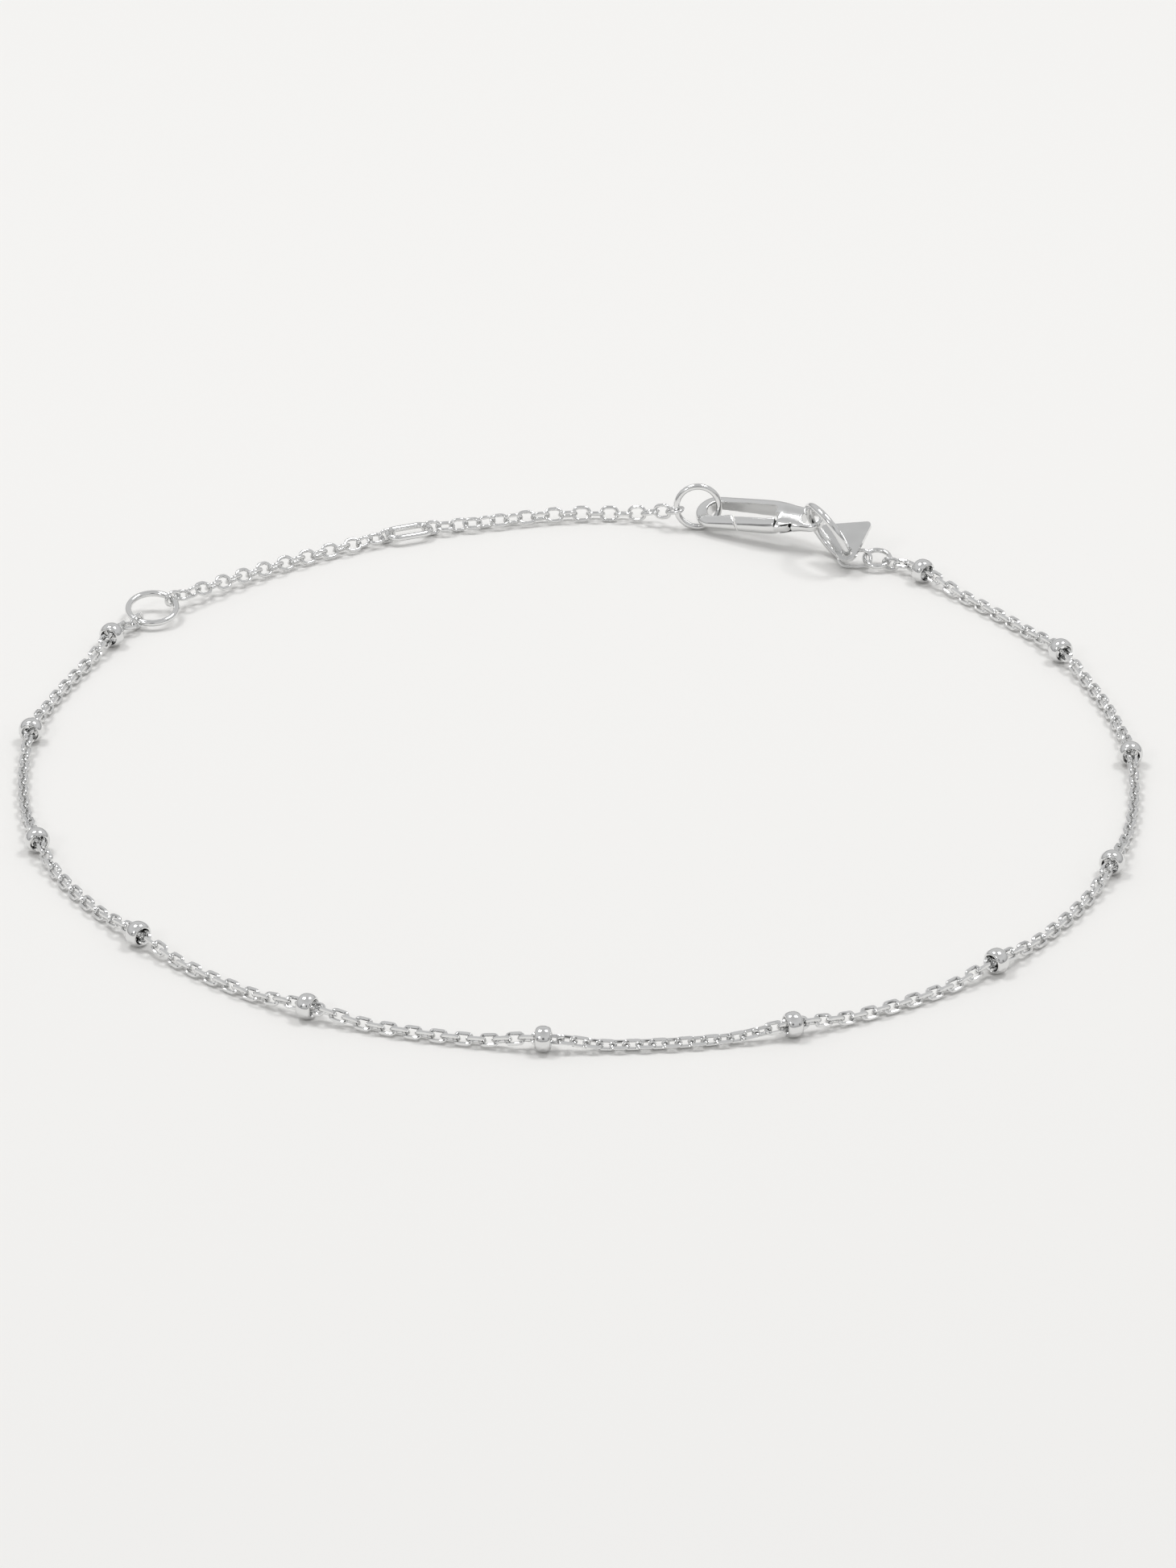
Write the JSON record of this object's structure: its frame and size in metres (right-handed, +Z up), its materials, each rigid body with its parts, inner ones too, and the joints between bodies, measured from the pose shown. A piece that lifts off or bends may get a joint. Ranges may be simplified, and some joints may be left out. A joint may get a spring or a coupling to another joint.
{
  "type": "anklet",
  "caption": "Fine silver chain anklet with small round beads, an extension chain, a lobster clasp and a bare three-cornered tag, lying closed in a loop.",
  "frame": {"origin": "middle of the bounding box at the surface that the anklet lies on", "axes": "+Z up from the surface, -Y towards the viewer of the picture, +X to the viewer's right; the extension and the clasp are on the +Y side"},
  "size_m": [0.078, 0.0801, 0.0047],
  "materials": {
    "clasp_lever": "polished silver",
    "main_chain": "polished silver",
    "chain_end_link_a": "polished silver",
    "chain_end_link_b": "polished silver",
    "chain_end_ring": "polished silver",
    "closing_ring": "polished silver",
    "extension_chain_a": "polished silver",
    "extension_chain_b": "polished silver",
    "middle_link": "polished silver",
    "end_ring": "polished silver",
    "clasp_body": "polished silver",
    "clasp_ring": "polished silver",
    "tag": "polished silver",
    "beads": "polished silver"
  },
  "bodies": {
    "anklet": {"main_chain": "main_chain", "chain_end_link_a": "chain_end_link_a", "chain_end_link_b": "chain_end_link_b", "chain_end_ring": "chain_end_ring", "closing_ring": "closing_ring", "extension_chain_a": "extension_chain_a", "extension_chain_b": "extension_chain_b", "middle_link": "middle_link", "end_ring": "end_ring", "clasp_body": "clasp_body", "clasp_ring": "clasp_ring", "tag": "tag", "bead_01": "beads", "bead_02": "beads", "bead_03": "beads", "bead_04": "beads", "bead_05": "beads", "bead_06": "beads", "bead_07": "beads", "bead_08": "beads", "bead_09": "beads", "bead_10": "beads", "bead_11": "beads", "bead_12": "beads"},
    "lever": {"clasp_lever": "clasp_lever"}
  },
  "joints": [
    {"name": "clasp_lever_hinge", "type": "hinge", "parent": "anklet", "child": "lever", "pos_m": [0.01499, 0.03498, 0.00186], "axis": [0.2994, 0.341, -0.8911], "range_deg": [0, 15], "stiffness_Nm_per_rad": 0.004, "springref_deg": -8.59}
  ]
}
